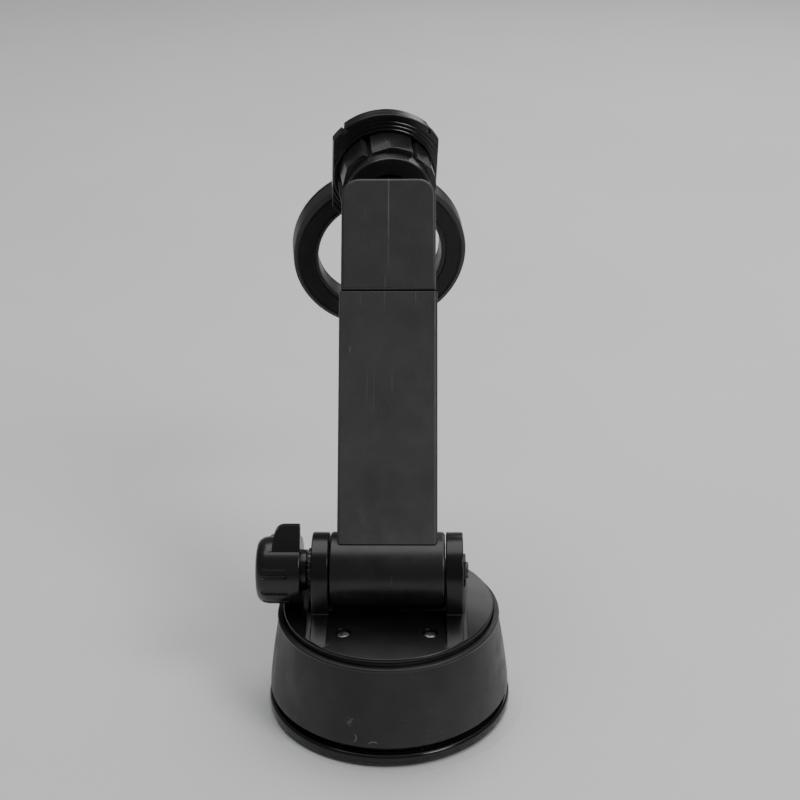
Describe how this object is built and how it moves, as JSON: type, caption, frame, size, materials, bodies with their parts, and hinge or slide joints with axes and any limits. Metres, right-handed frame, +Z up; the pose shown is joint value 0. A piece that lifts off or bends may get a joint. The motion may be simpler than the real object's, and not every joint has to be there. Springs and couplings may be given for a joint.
{
  "type": "car phone mount",
  "caption": "Suction-base phone mount with a lock lever, a tilting telescopic arm, a ball joint with a lock nut, and a folding magnetic ring.",
  "frame": {"origin": "centre of the suction base's underside, on the surface the mount stands on", "axes": "+Z up, +Y towards the side that holds the phone, +X to the right seen from behind the mount"},
  "size_m": [0.081, 0.153, 0.1655],
  "materials": {
    "clear_film": "thin clear release film, slightly cloudy",
    "gel": "soft tacky gel, smooth",
    "cup_rubber": "glossy black rubber lip",
    "satin_black": "satin black ABS with fine mould texture and faint scuffs",
    "gloss_black": "semi-gloss black moulded plastic",
    "natural_nylon": "natural white nylon",
    "black_steel": "blackened steel with bright worn edges",
    "bright_steel": "plated steel",
    "magnet": "nickel-plated magnet",
    "face_silicone": "soft-touch silicone"
  },
  "bodies": {
    "base": {"protective_film": "clear_film", "gel_pad": "gel", "suction_cup": "cup_rubber", "inner_frame": "satin_black", "skirt": "satin_black", "clevis_cap": "gloss_black", "cap_screw_left": "bright_steel", "cap_screw_right": "bright_steel", "cam_wear_plate": "bright_steel", "return_spring": "bright_steel", "pivot_bolt": "black_steel", "pivot_washer": "bright_steel"},
    "lock_stem": {"pull_stem": "natural_nylon", "lever_pin": "bright_steel"},
    "lock_lever": {"lever": "gloss_black"},
    "clamp_knob": {"knob": "gloss_black", "knob_insert": "bright_steel", "knob_cap": "gloss_black"},
    "arm_sleeve": {"sleeve_front_shell": "satin_black", "sleeve_rear_cover": "satin_black", "sleeve_screw_left": "bright_steel", "sleeve_screw_right": "bright_steel", "barrel_screw_left": "bright_steel", "barrel_screw_right": "bright_steel", "friction_washer_left": "natural_nylon", "friction_washer_right": "natural_nylon", "barrel_bush": "bright_steel"},
    "arm_slider": {"slider_bar": "satin_black", "friction_pad_left": "natural_nylon", "friction_pad_right": "natural_nylon", "detent_leaf": "bright_steel", "head_front_shell": "satin_black", "head_rear_cover": "satin_black", "head_screw_left": "bright_steel", "head_screw_right": "bright_steel", "ball_stud": "black_steel", "stud_nut": "bright_steel"},
    "liner_inner": {"ball_liner_inner": "natural_nylon"},
    "liner_outer": {"ball_liner_outer": "natural_nylon"},
    "plate": {"plate_rear_shell": "gloss_black", "plate_front_shell": "gloss_black", "plate_screw_1": "bright_steel", "plate_screw_2": "bright_steel", "plate_screw_3": "bright_steel", "plate_screw_4": "bright_steel", "ring_pin": "bright_steel"},
    "nut": {"lock_nut": "gloss_black"},
    "ring": {"ring_rear_housing": "gloss_black", "ring_rear_panel": "satin_black", "ring_front_cover": "gloss_black", "ring_face_pad": "face_silicone", "steel_yoke": "bright_steel", "magnet_1": "magnet", "magnet_2": "magnet", "magnet_3": "magnet", "magnet_4": "magnet", "magnet_5": "magnet", "magnet_6": "magnet", "magnet_7": "magnet", "magnet_8": "magnet"}
  },
  "joints": [
    {"name": "stem_slide", "type": "slide", "parent": "base", "child": "lock_stem", "axis": [0, 0, 1], "range_m": [0, 0.0026], "deforming": ["return_spring", "suction_cup"]},
    {"name": "lever_turn", "type": "hinge", "parent": "lock_stem", "child": "lock_lever", "pos_m": [0, 0, 0.02351], "axis": [-1, 0, 0], "range_deg": [0, 30]},
    {"name": "knob_turn", "type": "hinge", "parent": "base", "child": "clamp_knob", "pos_m": [0, 0, 0.0449], "axis": [1, 0, 0], "range_deg": [-90, 90]},
    {"name": "arm_tilt", "type": "hinge", "parent": "base", "child": "arm_sleeve", "pos_m": [0, 0, 0.0449], "axis": [-1, 0, 0], "range_deg": [-90, 35]},
    {"name": "arm_extend", "type": "slide", "parent": "arm_sleeve", "child": "arm_slider", "axis": [0, 0.5349, 0.8449], "range_m": [0, 0.045]},
    {"name": "ball_tilt", "type": "hinge", "parent": "arm_slider", "child": "liner_inner", "pos_m": [-0.001, 0.07563, 0.14201], "axis": [0.9921, 0.1226, -0.0255], "range_deg": [-20, 20]},
    {"name": "ball_swing", "type": "hinge", "parent": "liner_inner", "child": "liner_outer", "pos_m": [-0.001, 0.07563, 0.14201], "axis": [0.053, -0.2267, 0.9725], "range_deg": [-20, 20]},
    {"name": "plate_spin", "type": "hinge", "parent": "liner_outer", "child": "plate", "pos_m": [-0.001, 0.07563, 0.14201], "axis": [-0.1135, 0.9662, 0.2314], "continuous": true},
    {"name": "nut_turn", "type": "hinge", "parent": "plate", "child": "nut", "pos_m": [-0.001, 0.07563, 0.14201], "axis": [-0.1135, 0.9662, 0.2314], "range_deg": [0, 180]},
    {"name": "ring_fold", "type": "hinge", "parent": "plate", "child": "ring", "pos_m": [-0.0031, 0.09311, 0.14445], "axis": [0.9921, 0.1226, -0.0255], "range_deg": [0, 90]}
  ],
  "couplings": [
    {"joint": "stem_slide", "follows": "lever_turn", "m_per_rad": 0.004943}
  ]
}
